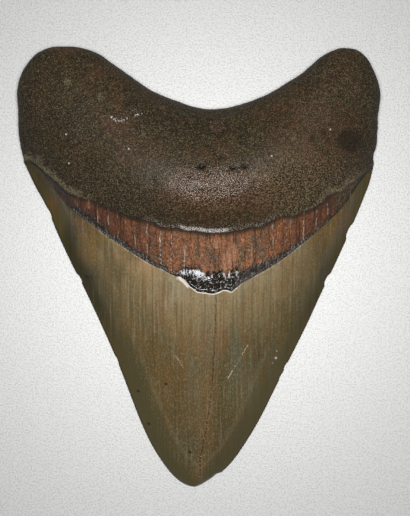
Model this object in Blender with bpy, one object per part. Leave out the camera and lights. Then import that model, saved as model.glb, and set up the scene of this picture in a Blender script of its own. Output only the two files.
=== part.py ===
"""A fossil megalodon tooth, lying on its flat labial face with its lingual face up.

The tooth grew as one piece, so it is one object. Its surface is two sheets, the domed lingual face
and the flat labial face, that meet along one closed outline: the cutting edges of the crown, and the
widest line round the root. Each sheet is laid over three zones, the crown, the neck and the root.
+Z is up and +Y runs from the tip of the crown towards the root. The origin is on the surface that
the tooth rests on, under the middle of its box.
"""

from math import cos, pi, sin, sqrt

import bmesh
import bpy
import numpy as np
from mathutils import Vector

MM = 0.001

# Driving dimensions of the whole tooth.
LENGTH = 118.8 * MM  # from the crown's tip to the top of the taller lobe
WIDTH = 97.8 * MM  # over the root's two lobes
CREST_HEIGHT = 25.2 * MM  # the root's thickest point, above the surface it rests on

# The outline, in shares of the half width and the half length from the middle of the box.
TIP = (-0.018, -1.0)
LEFT_CUTTING_EDGE = [
    (-0.118, -0.962), (-0.226, -0.855), (-0.317, -0.707), (-0.456, -0.416),
    (-0.620, -0.125), (-0.785, 0.162), (-0.915, 0.379),
]
LEFT_SHOULDER = (-0.983, 0.528)
LEFT_LOBE_SIDE = [(-1.000, 0.712), (-0.968, 0.880)]
LEFT_LOBE_CORNER = (-0.901, 0.956)
BASAL_EDGE = [
    (-0.775, 1.000), (-0.560, 0.964), (-0.377, 0.858), (-0.120, 0.746), (0.045, 0.715),
    (0.280, 0.746), (0.538, 0.855), (0.700, 0.955), (0.818, 0.988),
]
RIGHT_LOBE_CORNER = (0.925, 0.944)
RIGHT_LOBE_SIDE = [(0.985, 0.860), (0.999, 0.735), (0.985, 0.600)]
RIGHT_SHOULDER = (0.962, 0.465)
RIGHT_CUTTING_EDGE = [
    (0.850, 0.190), (0.725, -0.022), (0.556, -0.310), (0.427, -0.528), (0.294, -0.744),
    (0.166, -0.895), (0.064, -0.968),
]

# Where the zones meet, from the left shoulder to the right one, in the same shares. The lingual
# enamel ends in a deep curve under the neck, and the labial enamel reaches nearer to the root.
LINGUAL_ENAMEL_END = [(-0.660, 0.225), (-0.330, 0.035), (0.060, -0.115), (0.400, 0.010), (0.735, 0.215)]
LINGUAL_ROOT_START = [(-0.700, 0.330), (-0.330, 0.185), (0.060, 0.155), (0.430, 0.205), (0.760, 0.335)]
LABIAL_ENAMEL_END = [(-0.640, 0.395), (-0.330, 0.330), (0.030, 0.300), (0.400, 0.325), (0.700, 0.385)]
LABIAL_ROOT_START = [(-0.650, 0.425), (-0.330, 0.365), (0.030, 0.335), (0.400, 0.360), (0.710, 0.415)]

# Heights above the surface that the tooth rests on.
EDGE_HEIGHT = 1.8 * MM  # of the cutting edges
RIM_HEIGHT = 9.0 * MM  # of the widest line round the root's lobes
RIM_RISES_FROM = 0.25  # share of the half length where the outline starts to climb
RIM_LEVEL_FROM = 0.85  # and where it has climbed to the rim's height
CROWN_RIDGE_HEIGHT = 16.6 * MM  # of the crown's midline where the lingual enamel ends
NECK_RIDGE_HEIGHT = 19.6 * MM  # of the midline where the root starts
CREST_AT = 0.36  # share of the root's length, from the neck, that the crest lies at
CROWN_RIDGE_POWER = 0.56  # how fast the crown thickens from the tip
CONTACT_DEPTH = 0.12 * MM  # how much of the crown's labial swell is worn flat
LOBE_CONTACT_DEPTH = 0.45 * MM  # and of each lobe's
LABIAL_HOLLOW = 1.6 * MM  # depth of the shallow hollow between the lobes, on the labial face
TIP_ROUNDING = 0.06  # share of the crown's length over which its labial face rounds up to the tip

# Cross-sections are 1 - |across| ** power, raised to roundness: a lens or a round-sided slab.
CROWN_SECTION = (2.0, 1.0)
ROOT_SECTION = (2.3, 0.62)
LABIAL_POWER = 3.0

COLUMNS = 32  # quads across each face
CROWN_ROWS, NECK_ROWS, ROOT_ROWS = 26, 4, 14
TIP_CROWDING = 1.3  # rows crowd towards the rounded tip
CROWN_CROWDING, ROOT_CROWDING = 0.35, 0.9  # columns crowd towards the rim, most where it is round
CURVE_STEPS = 24  # straight steps between two points of a curve
WELD = 0.001 * MM

FOSSIL_BROWN = (0.105, 0.070, 0.036, 1.0)
FOSSIL_ROUGHNESS = 0.5


def spline(points, closed=False):
    """A smooth polyline through the points, which are shares of the half width and half length."""
    places = [np.array((x * WIDTH / 2, y * LENGTH / 2)) for x, y in points]
    if closed:
        places = [places[-1], *places, places[0], places[1]]
    else:
        places = [2 * places[0] - places[1], *places, 2 * places[-1] - places[-2]]
    line = []
    for before, start, end, after in zip(places, places[1:], places[2:], places[3:]):
        for step in range(CURVE_STEPS):
            t = step / CURVE_STEPS
            line.append(
                start
                + 0.5 * t * (end - before)
                + t * t * (before - 2.5 * start + 2 * end - 0.5 * after)
                + 0.5 * t ** 3 * (3 * (start - end) + after - before)
            )
    return np.array(line if closed else [*line, places[-2]])


def by_length(line):
    """A function from a share of the line's length to the point there."""
    lengths = np.linalg.norm(np.diff(line, axis=0), axis=1)
    along = np.concatenate([[0.0], np.cumsum(lengths)])
    along /= along[-1]
    return lambda share: Vector((np.interp(share, along, line[:, 0]), np.interp(share, along, line[:, 1])))


def outline():
    """The outline's five stretches: both cutting edges from the tip, both lobe sides and the basal edge."""
    left = [TIP, *LEFT_CUTTING_EDGE, LEFT_SHOULDER, *LEFT_LOBE_SIDE, LEFT_LOBE_CORNER]
    right = [RIGHT_LOBE_CORNER, *RIGHT_LOBE_SIDE, RIGHT_SHOULDER, *RIGHT_CUTTING_EDGE]
    ring = left + BASAL_EDGE + right
    line = spline(ring, closed=True)
    line = np.vstack([line, line[:1]])
    corner = {point: ring.index(point) * CURVE_STEPS for point in ring}
    left_top, right_top = corner[LEFT_LOBE_CORNER], corner[RIGHT_LOBE_CORNER]
    left_side, right_side = corner[LEFT_SHOULDER], corner[RIGHT_SHOULDER]
    return {
        "left_edge": by_length(line[: left_side + 1]),
        "left_lobe": by_length(line[left_side : left_top + 1]),
        "basal_edge": by_length(line[left_top : right_top + 1]),
        "right_lobe": by_length(line[right_top : right_side + 1][::-1]),
        "right_edge": by_length(line[right_side:][::-1]),
    }


def zone_point(zone, across, along):
    """A point of a zone whose ends may sag, across and along it from 0 to 1."""
    left, right, low, high, ease = zone
    share = along ** ease
    point = left(along).lerp(right(along), across)
    for end, weight in ((low, 1 - share), (high, share)):
        point += weight * (end(across) - end(0.0).lerp(end(1.0), across))
    return point


def smooth_step(value, low, high):
    t = min(max((value - low) / (high - low), 0.0), 1.0)
    return t * t * (3 - 2 * t)


def rim_height(y):
    """The outline's height above the surface, at that distance along the tooth."""
    climb = smooth_step(y / (LENGTH / 2), RIM_RISES_FROM, RIM_LEVEL_FROM)
    return EDGE_HEIGHT + (RIM_HEIGHT - EDGE_HEIGHT) * climb


def section(across, power, roundness):
    """The share of the midline's height that is left, across from -1 to 1."""
    return max(0.0, 1 - abs(across) ** power) ** roundness


def rootness(zone, along):
    """0 on the crown, rising over the neck to 1 on the root."""
    return {"crown": 0.0, "neck": along / 2, "root": min(1.0, 0.5 + along)}[zone]


def lingual_ridge(zone, along):
    """The height of the domed face's midline."""
    if zone == "crown":
        return EDGE_HEIGHT + (CROWN_RIDGE_HEIGHT - EDGE_HEIGHT) * along ** CROWN_RIDGE_POWER
    if zone == "neck":
        return CROWN_RIDGE_HEIGHT + (NECK_RIDGE_HEIGHT - CROWN_RIDGE_HEIGHT) * along
    if along < CREST_AT:
        return NECK_RIDGE_HEIGHT + (CREST_HEIGHT - NECK_RIDGE_HEIGHT) * sin(pi / 2 * along / CREST_AT)
    return CREST_HEIGHT


def basal_roundness(along):
    """1 up to the crest, then a quarter round down to 0 at the basal edge."""
    past = max(0.0, along - CREST_AT) / (1 - CREST_AT)
    return sqrt(max(0.0, 1 - past ** 2))


def lingual_height(zone, across, along, y):
    share = rootness(zone, along)
    power, roundness = (c + (r - c) * share for c, r in zip(CROWN_SECTION, ROOT_SECTION))
    dome = section(across, power, roundness) * (basal_roundness(along) if zone == "root" else 1)
    rim = rim_height(y)
    return rim + (lingual_ridge(zone, along) - rim) * dome


def labial_height(zone, across, along, y):
    """The flat face: worn level on the crown and the two lobes, and curling up to the rim."""
    rim = rim_height(y)
    if zone == "root":
        flat = section(across, LABIAL_POWER, ROOT_SECTION[1]) * basal_roundness(along)
        hollow = LABIAL_HOLLOW * section(across, 2, 2) * sin(pi * along)
        contact = LOBE_CONTACT_DEPTH
    else:
        tip_rounding = 1 if zone == "neck" else sqrt(smooth_step(along, 0.0, TIP_ROUNDING))
        flat = section(across, LABIAL_POWER, 1) * tip_rounding
        hollow, contact = 0.0, CONTACT_DEPTH
    raised = rim * (1 - flat) + hollow
    return max(0.0, (raised - contact) * rim / (rim - contact))


def rows():
    """(zone, share along it) of every row of points, from the tip to the basal edge."""
    found = [("crown", (row / CROWN_ROWS) ** TIP_CROWDING) for row in range(CROWN_ROWS)]
    found += [("neck", row / NECK_ROWS) for row in range(NECK_ROWS)]
    return found + [("root", sin(pi / 2 * row / ROOT_ROWS)) for row in range(ROOT_ROWS + 1)]


def add_face(bm, edges, enamel_end, root_start, height):
    """One face of the tooth, as a grid whose points are laid over the three zones."""
    ends = [
        by_length(spline([LEFT_SHOULDER, *points, RIGHT_SHOULDER]))
        for points in (enamel_end, root_start)
    ]
    tip = edges["left_edge"](0.0)
    # The neck has no width at the shoulders, so both of its sides are one point.
    zones = {
        "crown": (edges["left_edge"], edges["right_edge"], lambda _: tip.copy(), ends[0], 2),
        "neck": (lambda _: ends[0](0.0), lambda _: ends[0](1.0), *ends, 1),
        "root": (edges["left_lobe"], edges["right_lobe"], ends[1], edges["basal_edge"], 1),
    }
    places = rows()
    grid = bmesh.ops.create_grid(bm, x_segments=COLUMNS, y_segments=len(places) - 1, size=0.5)
    for vert in grid["verts"]:
        column = 2 * vert.co.x
        zone, along = places[round((vert.co.y + 0.5) * (len(places) - 1))]
        crowding = CROWN_CROWDING + (ROOT_CROWDING - CROWN_CROWDING) * rootness(zone, along)
        across = (1 - crowding) * column + crowding * sin(pi / 2 * column)
        point = zone_point(zones[zone], (across + 1) / 2, along)
        vert.co = (*point, height(zone, across, along, point.y))


def centre_over_origin(bm):
    """Moves the middle of the tooth's box over the origin. It already stands at height 0."""
    places = np.array([vert.co for vert in bm.verts])
    middle = (places.min(axis=0) + places.max(axis=0)) / 2
    bmesh.ops.translate(bm, verts=bm.verts, vec=(-middle[0], -middle[1], 0.0))


def fossil_material():
    material = bpy.data.materials.new("fossil")
    material.use_nodes = True
    shader = material.node_tree.nodes["Principled BSDF"]
    shader.inputs["Base Color"].default_value = FOSSIL_BROWN
    shader.inputs["Roughness"].default_value = FOSSIL_ROUGHNESS
    shader.inputs["Metallic"].default_value = 0.0
    return material


def build_tooth():
    edges = outline()
    bm = bmesh.new()
    add_face(bm, edges, LINGUAL_ENAMEL_END, LINGUAL_ROOT_START, lingual_height)
    add_face(bm, edges, LABIAL_ENAMEL_END, LABIAL_ROOT_START, labial_height)
    bmesh.ops.remove_doubles(bm, verts=bm.verts, dist=WELD)
    bmesh.ops.recalc_face_normals(bm, faces=bm.faces)
    centre_over_origin(bm)
    mesh = bpy.data.meshes.new("tooth")
    bm.to_mesh(mesh)
    bm.free()
    mesh.shade_smooth()
    mesh.materials.append(fossil_material())
    tooth = bpy.data.objects.new("tooth", mesh)
    bpy.context.scene.collection.objects.link(tooth)


for old in list(bpy.data.objects):
    bpy.data.objects.remove(old)
build_tooth()
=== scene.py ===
from math import pi

import bmesh
import bpy
import numpy as np
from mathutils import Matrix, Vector, kdtree, noise


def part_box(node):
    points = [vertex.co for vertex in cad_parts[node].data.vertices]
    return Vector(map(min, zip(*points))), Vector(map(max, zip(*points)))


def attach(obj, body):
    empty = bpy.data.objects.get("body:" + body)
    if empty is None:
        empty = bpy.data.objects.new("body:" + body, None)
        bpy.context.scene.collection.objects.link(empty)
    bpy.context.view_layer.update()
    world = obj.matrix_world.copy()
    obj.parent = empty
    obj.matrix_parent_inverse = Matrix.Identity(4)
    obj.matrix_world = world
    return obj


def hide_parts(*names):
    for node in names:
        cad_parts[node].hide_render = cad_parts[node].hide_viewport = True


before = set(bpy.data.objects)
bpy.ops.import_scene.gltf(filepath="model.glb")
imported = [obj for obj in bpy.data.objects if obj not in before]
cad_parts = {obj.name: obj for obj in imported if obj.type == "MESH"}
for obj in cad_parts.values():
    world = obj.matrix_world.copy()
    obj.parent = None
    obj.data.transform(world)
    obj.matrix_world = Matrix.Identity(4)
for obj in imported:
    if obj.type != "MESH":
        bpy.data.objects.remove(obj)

bl_info = {
    "name": "Fossil Megalodon Tooth",
    "version": (1, 0, 0),
    "blender": (4, 5, 0),
    "location": "3D View > Sidebar > Fossil",
    "description": "Models a worn megalodon tooth at its real size, with its root, bourlette and enamel",
    "category": "Add Mesh",
}

# The tooth lies on its flat labial face with its domed lingual face up. +Y runs from the crown's tip
# to the root. Its surface is two sheets, lingual and labial, that meet along one closed outline. Each
# sheet is laid over three zones: the crown, the bourlette band under the root, and the root.
MM = 0.001
LOW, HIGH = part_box("tooth")
HALF_SIZE = np.array(HIGH - LOW)[:2] / 2
CREST_HEIGHT = HIGH.z
ZONES = ("crown", "band", "root")
# What is measured at each point of the surface and kept as an attribute: whether it is lingual, whether it
# is on the cutting edges, and in mm how far it is from the nearest cutting edge, past the enamel's end,
# past the root's start, inside the glassy strip, beside the crack and past a facet's line.
MEASURES = ("lingual", "rim", "margin", "enamel_gap", "root_gap", "charcoal", "crack", "facet")
NOWHERE_NEAR = 50.0  # mm from the crack, on the sheet that has none

# The outline, in shares of the half width and the half length from the middle of the box.
TIP = (-0.028, -1.0)
LEFT_CUTTING_EDGE = [
    (-0.127, -0.962), (-0.230, -0.855), (-0.322, -0.707), (-0.460, -0.416), (-0.620, -0.125),
    (-0.715, 0.030), (-0.789, 0.162), (-0.851, 0.285), (-0.912, 0.379),
]
LEFT_ENAMEL_CORNER = (-0.967, 0.480)
LEFT_ROOT_CORNER = (-0.970, 0.489)
LEFT_LOBE_SIDE = [(-0.994, 0.580), (-0.996, 0.700), (-0.998, 0.800), (-0.980, 0.872)]
LEFT_LOBE_CORNER = (-0.905, 0.962)
BASAL_EDGE = [
    (-0.790, 1.000), (-0.652, 0.994), (-0.543, 0.962), (-0.433, 0.900), (-0.268, 0.810), (-0.104, 0.749),
    (0.060, 0.719), (0.226, 0.739), (0.390, 0.793), (0.555, 0.876), (0.665, 0.950), (0.770, 0.991),
    (0.866, 0.987),
]
RIGHT_LOBE_CORNER = (0.931, 0.942)
RIGHT_LOBE_SIDE = [(0.974, 0.869), (0.994, 0.797), (0.985, 0.690), (0.984, 0.570)]
RIGHT_ROOT_CORNER = (0.965, 0.462)
RIGHT_ENAMEL_CORNER = (0.963, 0.453)
RIGHT_CUTTING_EDGE = [
    (0.952, 0.404), (0.930, 0.350), (0.863, 0.212), (0.785, 0.066), (0.679, -0.118), (0.597, -0.264),
    (0.508, -0.411), (0.419, -0.558), (0.329, -0.705), (0.217, -0.851), (0.139, -0.925), (0.068, -0.962),
]

# Where the zones meet, between the corners. The lingual enamel's edge is chipped under the middle of
# the band, where it drops in scallops.
LINGUAL_ENAMEL_END = [
    (-0.931, 0.475), (-0.893, 0.456), (-0.846, 0.412), (-0.795, 0.356), (-0.722, 0.286), (-0.654, 0.240),
    (-0.493, 0.141), (-0.264, 0.020), (-0.202, -0.003), (-0.163, -0.020), (-0.130, -0.034),
    (-0.102, -0.037), (-0.072, -0.055), (-0.041, -0.083), (-0.010, -0.100), (0.027, -0.106),
    (0.076, -0.111), (0.106, -0.106), (0.133, -0.096), (0.157, -0.096), (0.175, -0.104), (0.190, -0.096),
    (0.206, -0.082), (0.250, -0.059), (0.353, -0.010), (0.460, 0.043), (0.628, 0.155), (0.752, 0.246),
    (0.809, 0.296), (0.854, 0.349), (0.896, 0.398), (0.930, 0.432),
]
LINGUAL_ROOT_START = [
    (-0.931, 0.487), (-0.881, 0.461), (-0.795, 0.398), (-0.700, 0.336), (-0.644, 0.320), (-0.571, 0.303),
    (-0.472, 0.264), (-0.396, 0.239), (-0.315, 0.217), (-0.213, 0.191), (0.044, 0.160), (0.249, 0.169),
    (0.432, 0.222), (0.509, 0.239), (0.586, 0.258), (0.632, 0.272), (0.673, 0.294), (0.715, 0.327),
    (0.780, 0.347), (0.822, 0.378), (0.872, 0.404), (0.925, 0.437),
]
LABIAL_ENAMEL_END = [(-0.640, 0.360), (-0.330, 0.290), (0.030, 0.255), (0.400, 0.285), (0.700, 0.350)]
LABIAL_ROOT_START = [(-0.650, 0.420), (-0.330, 0.365), (0.030, 0.335), (0.400, 0.360), (0.710, 0.405)]
# How both borders sway: the waves' length and height in mm.
ENAMEL_END_SWAY, ROOT_START_SWAY = (1.1, 0.2), (2.6, 0.7)

# The tooth's heights, and the shape of its sections, which are 1 - |across| ** power, raised to
# roundness: a lens on the crown and a round-sided slab on the root.
RIM_HEIGHT = 9.0 * MM  # of the widest line round the root's lobes
RIM_RISES_FROM = 0.25  # share of the half length where the outline starts to climb
RIM_LEVEL_FROM = 0.85  # and where it has climbed to the rim's height
CREST_AT = 0.36  # share of the root's length, from the band, that the crest lies at
CROWN_RIDGE_POWER = 0.56  # how fast the crown thickens from the tip
CROWN_SECTION = (2.0, 1.0)
ROOT_SECTION = (2.3, 0.62)
LABIAL_POWER = 3.0
CONTACT_DEPTH = 0.12 * MM  # how much of the crown's labial swell is worn flat
LOBE_CONTACT_DEPTH = 0.45 * MM  # and of each lobe's
LABIAL_HOLLOW = 1.6 * MM  # depth of the shallow hollow between the lobes, on the labial face
TIP_ROUNDING = 0.06  # share of the crown's length over which its labial face rounds up to the tip

# How wide the glassy dark strip above the lingual enamel's end is: x and width in mm.
CHARCOAL_WIDTHS = [
    (-46, -1.5), (-38, -1.2), (-35.5, 0.6), (-33, 1.9), (-28, 2.2), (-20, 2.0), (-12, 1.8), (-8, 1.2),
    (-6, 0.8), (-5, 2.3), (-2.5, 3.7), (0, 5.4), (2, 5.6), (5, 5.2), (9, 4.8), (12, 3.4), (16, 2.8),
    (20, 2.3), (24, 1.7), (28, 1.2), (32, 0.8), (36, 0.5), (46, 0.4),
]
LABIAL_CHARCOAL = 0.5  # how wide it is on the labial face, in mm
# How wide the steps down to the sunken band are, under the enamel's end and under the root, in mm, and how
# fast the steps fade out towards the cutting edges.
ENAMEL_STEP, ROOT_STEP, STEP_FADE_POWER = 0.6, 0.8, 6
ROOT_LIP_AT, ROOT_LIP_WIDTH = 0.7, 0.5  # where the root's raised lip is, past the root's start, in mm
# The chip where the strip is widest, in mm: the x over which its left and right ends fade in, how far
# inside the strip its edge does, its floor's least depth, how far from the enamel's end that is, and how
# fast the floor deepens on both sides of it.
CHIP_LEFT_END, CHIP_RIGHT_END, CHIP_EDGE = (-6.5, -4.5), (11.5, 8.0), (-0.2, 1.0)
CHIP_DEPTH, CHIP_CREST, CHIP_BEND = 0.65, 2.6, 0.045
CHIP_SWELL = (-2.6, -1.4, 2.2, 0.26)  # a low swell in its floor: x, y, radius and height in mm

# Chips and steps along the edges: x, y, radius and depth in mm.
EDGE_NICKS = [
    (-40.6, 15.0, 1.4, 0.35), (-32.8, -2.9, 1.3, 0.40), (-22.6, -25.1, 1.2, 0.28),
    (47.8, 30.4, 1.6, 0.55), (41.2, 10.1, 2.0, 0.65), (35.1, -3.0, 1.6, 0.55),
    (23.4, -26.5, 1.1, 0.40), (21.9, -29.3, 1.0, 0.25), (5.2, -57.0, 1.3, 1.1),
]
NICK_SLANT = 0.35  # how much of their push along the tooth is kept, so that they go mostly sideways
# Openings of the root's canals, and smaller pits: x, y, radius and depth in mm.
ROOT_PITS = [
    (0.7, 26.6, 0.7, 0.8), (8.8, 26.3, 0.55, 0.75), (11.9, 26.8, 0.55, 0.75), (30.1, 34.0, 0.6, 0.4),
    (33.1, 35.6, 0.5, 0.3),
]
# Painted glints on single sparkling grains of the root.
ROOT_SPARKLES = [(34.6, 36.6), (-34.3, 27.8), (-34.9, 35.3), (19.0, 29.4), (-18.2, 31.2)]  # in mm
# The scuff's scratches are pale, and their flecks are painted with the glints they catch.
ROOT_SCUFF = [(-22.9, 39.7), (-21.2, 38.5), (-15.2, 40.7)]  # a broken line of pale scratches, in mm
ROOT_DIMPLE = (4.8, 36.9, 2.4, 0.22)  # a shallow ring: x, y, radius and depth in mm
DIMPLE_RING = (0.6, 1.1, 3)  # its raised ring: height and radius as shares of these, and steepness
ROOT_CREASE = ((-3.1, 37.7), (6.1, 29.1))  # a worn crease from end to end, in mm
ROOT_CREASE_WIDTH, ROOT_CREASE_DEPTH = 0.8, 0.28  # in mm
# The long crack down the lingual enamel, and its scratches from end to end, in mm.
CROWN_CRACK = [(4.6, -6.0), (4.5, -12.0), (4.0, -21.7), (3.5, -32.5), (1.9, -43.4), (0.3, -51.7)]
LONG_SCRATCH, SHORT_SCRATCH = ((13.1, -20.5), (7.8, -29.3)), ((-6.4, -23.1), (-4.2, -26.3))
# Where the crown's rounded middle meets its flatter margins, on each side of the lingual face, in mm.
LEFT_FACET = [(-27.0, 4.0), (-19.6, -14.1), (-11.5, -34.6), (-7.6, -44.0), (-4.5, -49.5), (0.2, -54.0)]
RIGHT_FACET = [(29.0, 4.0), (22.5, -12.0), (16.5, -27.0), (10.6, -41.0), (6.0, -48.5), (0.6, -54.0)]
FACET_DEPTH, FACET_FADE = 0.14, (-0.4, 1.8)  # how far the margins lie back, and past which distances, in mm
LEFT_SLOPE = ((-23.0, 0.0), (-9.5, -21.0))  # the middle of the crown's darker left slope, in mm
# Bright dots and dark specks on the enamel: x and y in mm, then each dot's radius in mm and its strength.
ENAMEL_LIGHT_DOTS = [(20.8, -24.2, 0.45, 0.9), (21.0, -22.3, 0.35, 0.4), (19.9, -25.6, 0.3, 0.3)]
ENAMEL_DARK_SPECKS = [(-30.3, -2.3), (-8.8, -31.0), (-16.5, -33.3), (-13.6, -42.2), (-2.4, -49.5)]

# The unevenness of each zone, as swells of noise: their width in mm, how many times as long they are up
# the tooth, their height in mm, or on the root as a share of its relief, and their seed.
ROOT_SWELLS = [(11, 1.0, 1.0, 1), (4, 1.0, 0.45, 2), (1.6, 1.0, 0.3, 3)]
BAND_SWELLS = [(1.5, 9.0, 0.13, 4), (0.8, 6.0, 0.078, 5), (2.0, 1.0, 0.08, 6)]
GLASS_SWELLS = [(2.4, 1.0, 0.17, 14), (1.0, 1.0, 0.08, 10)]
CROWN_SWELLS = [(9, 3.0, 0.10, 7), (1.8, 16.0, 0.035, 8)]
SEED_STEP = 17.3  # how far apart in the noise two seeds are
CALM_MARGIN = 3.5  # mm beside the cutting edges over which the crown's swells fade out
SERRATION_SLANT = 0.9  # how far up the tooth a serration reaches, as a share of its length along the edge
SERRATION_WEAR = 6 * MM  # size of the stretches that are worn more or less

LINGUAL_COLUMNS, LABIAL_COLUMNS = 220, 110  # quads across each sheet, two lingual ones to each labial one
CROWN_ROWS, BAND_ROWS, ROOT_ROWS = 148, 44, 106
TIP_CROWDING = 1.15  # rows crowd towards the rounded tip
CROWN_EASE = 2  # the power of a row's share of the crown by which it follows the enamel's end
CROWN_CROWDING, ROOT_CROWDING = 0.15, 0.55  # columns crowd towards the rim, most where it is round
CURVE_STEPS = 24  # straight steps between two points of a curve
BORDER_SAMPLES = 1500  # points of a border that distances are measured from
RIM_CUTS = 3  # cuts in each edge along the cutting edges, for the serrations
WELD = 0.001 * MM

# The stage: a floor just under the tooth, a round softbox beside the camera, and walls whose light grows
# from overhead down to the horizon.
FLOOR_HALF, FLOOR_GAP = 1.5, 0.05 * MM
SOFTBOX_PLACE, SOFTBOX_SIZE, SOFTBOX_WATTS = (0.004, 0.012, 0.51), 0.1, 2.1
OVERHEAD_FROM, OVERHEAD_LIGHT, HORIZON_LIGHT = 0.8, 0.1, 0.3
CAMERA_PLACE, CAMERA_LENS, SENSOR_HEIGHT = (1.64 * MM, 2.80 * MM, 0.5), 85.1, 24.0


def linear(code):
    """An sRGB hex value as linear red, green and blue."""
    shares = [int(code[place : place + 2], 16) / 255 for place in (1, 3, 5)]
    return [s / 12.92 if s <= 0.04045 else ((s + 0.055) / 1.055) ** 2.4 for s in shares]


def size_property(name, description, value_mm):
    return bpy.props.FloatProperty(
        name=name, description=description, default=value_mm * MM, min=0.0, precision=5, unit="LENGTH"
    )


def colour_property(name, description, code):
    return bpy.props.FloatVectorProperty(
        name=name, description=description, default=linear(code), size=3, min=0.0, max=1.0, subtype="COLOR"
    )


class ToothSizes(bpy.types.PropertyGroup):
    edge_height: size_property("Edge Height", "Height of the cutting edges over the surface", 1.8)
    crown_ridge: size_property("Crown Ridge", "Height of the crown's midline at its enamel's end", 16.6)
    band_ridge: size_property("Band Ridge", "Height of the midline where the root starts", 19.6)
    root_lip: size_property("Root Lip", "Height of the worn lip along the root's lower edge", 0.35)
    enamel_lip: size_property("Enamel Lip", "How far the enamel stands over the band", 0.35)
    serration_pitch: size_property("Serration Pitch", "Distance between two worn serrations", 0.85)
    serration_depth: size_property("Serration Depth", "Depth of the worn serrations", 0.12)
    root_relief: size_property("Root Relief", "Height of the root's uneven swells", 0.3)
    root_grain: size_property("Root Grain", "Size of the root's porous grain", 0.5)
    streak_width: size_property("Streak Width", "Width of the enamel's growth streaks", 0.55)


class ToothColours(bpy.types.PropertyGroup):
    root_brown: colour_property("Root Brown", "The mineralised bone of the root", "#342710")
    # Root Dark also paints shade: along the root's outline, in its crease and under its lip.
    root_dark_and_shade: colour_property("Root Dark", "The root's recesses and lower edge", "#1E190B")
    root_warm: colour_property("Root Warm", "The worn crest of the root", "#4F321E")
    root_grain: colour_property("Root Grain", "Light grains in the root", "#8C7A5C")
    root_olive: colour_property("Root Olive", "Greenish parts of the root", "#25230F")
    # Root Pit also paints shade: in the canal openings and under the root's lip.
    root_pit_and_shade: colour_property("Root Pit", "Pores and stains in the root", "#15120C")
    root_tan: colour_property("Root Tan", "Worn ridges and spots of the root", "#978A6C")
    # Root Rose also paints a pink tint into the crest's highlight.
    root_rose_and_highlight: colour_property("Root Rose", "A reddish spot on the root", "#8E685C")
    # Root Fleck also paints glints: along the root's lip, on the scuff and on single sparkling grains.
    root_fleck_and_glint: colour_property("Root Fleck", "Pale flecks of a scuff on the root", "#E6DCD8")
    band_orange: colour_property("Band Orange", "The bourlette's iron-stained dentine", "#88512B")
    band_brown: colour_property("Band Brown", "Dull parts of the bourlette", "#67422D")
    band_amber: colour_property("Band Amber", "Bright marbling of the bourlette", "#985C31")
    band_dark: colour_property("Band Dark", "Fine dark pores of the bourlette", "#3C2414")
    band_tan: colour_property("Band Tan", "Pale worn dentine in the middle of the bourlette", "#AF7B58")
    band_olive: colour_property("Band Olive", "Greenish-grey zones down the bourlette", "#554936")
    band_red: colour_property("Band Red", "The bourlette towards its two ends", "#5B3523")
    band_pale: colour_property("Band Pale", "Light specks in the bourlette", "#C9A481")
    band_crack: colour_property("Band Crack", "Cracks and pores of the bourlette", "#28160B")
    band_vein: colour_property("Band Vein", "Grey-green veins down the bourlette", "#A9A591")
    charcoal: colour_property("Charcoal", "The dark glassy strip along the enamel's edge", "#171913")
    charcoal_brown: colour_property("Charcoal Brown", "Brown parts of the glassy strip", "#352A23")
    # Charcoal Fleck also paints the glints in the chip's floor.
    charcoal_fleck_and_glint: colour_property("Charcoal Fleck", "Grey flecks in the glassy strip", "#857E76")
    # Enamel Light also paints the sheen of the upper crown.
    enamel_light_and_sheen: colour_property("Enamel Light", "The enamel near the bourlette", "#9F8B66")
    enamel_mid: colour_property("Enamel Brown", "The enamel over the middle of the crown", "#5B4A24")
    enamel_olive: colour_property("Enamel Olive", "The enamel towards the tip and the edges", "#534926")
    enamel_rust: colour_property("Enamel Rust", "Rusty streaks in the enamel", "#7E4C24")
    enamel_grey: colour_property("Enamel Grey", "Blue-grey patches in the enamel", "#62634F")
    enamel_warm: colour_property("Enamel Warm", "Warm clouds in the enamel", "#785A2C")
    # Enamel Dark also paints the shadow in a thin line along the outline.
    enamel_dark_and_shadow: colour_property("Enamel Dark", "Fine dark streaks in the enamel", "#3A3020")
    enamel_pale: colour_property("Enamel Pale", "Fine pale streaks in the enamel", "#B5A98C")
    enamel_moss: colour_property("Enamel Moss", "Dark greenish margins of the enamel", "#33311A")
    enamel_ochre: colour_property("Enamel Ochre", "Yellow-brown blotches along the bourlette", "#8A6522")
    enamel_honey: colour_property("Enamel Honey", "A light warm patch beside the bourlette", "#B98C5A")
    enamel_line: colour_property("Enamel Line", "Cracks and dark specks in the enamel", "#1F170E")
    # Enamel Glint also paints the highlight along the enamel's edge under the band.
    enamel_glint: colour_property("Enamel Glint", "Scratches and broken edges of the enamel", "#CFC9B8")
    # Glass Glint paints highlights on the chip's facets and on vein rims beside it.
    glass_glint: colour_property("Glass Glint", "Bright facets of the glassy chip", "#F1EFF2")
    # Enamel Chip is the pale broken rim, painted with the bright highlight it catches.
    enamel_chip_and_highlight: colour_property("Enamel Chip", "The fresh broken rim of the enamel", "#F3E8DD")
    floor: colour_property("Floor", "The pale surface under the tooth", "#C0C0BF")
    floor_fibre: colour_property("Floor Fibre", "The coating's darker grains", "#8F8E8E")


def spline(points, closed=False):
    """A smooth polyline through the points, which are shares of the half width and half length."""
    places = [np.array(point) * HALF_SIZE for point in points]
    if closed:
        places = [places[-1], *places, places[0], places[1]]
    else:
        places = [2 * places[0] - places[1], *places, 2 * places[-1] - places[-2]]
    line = []
    for before, start, end, after in zip(places, places[1:], places[2:], places[3:]):
        for step in range(CURVE_STEPS):
            t = step / CURVE_STEPS
            line.append(
                start
                + 0.5 * t * (end - before)
                + t * t * (before - 2.5 * start + 2 * end - 0.5 * after)
                + 0.5 * t ** 3 * (3 * (start - end) + after - before)
            )
    return np.array(line if closed else [*line, places[-2]])


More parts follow.
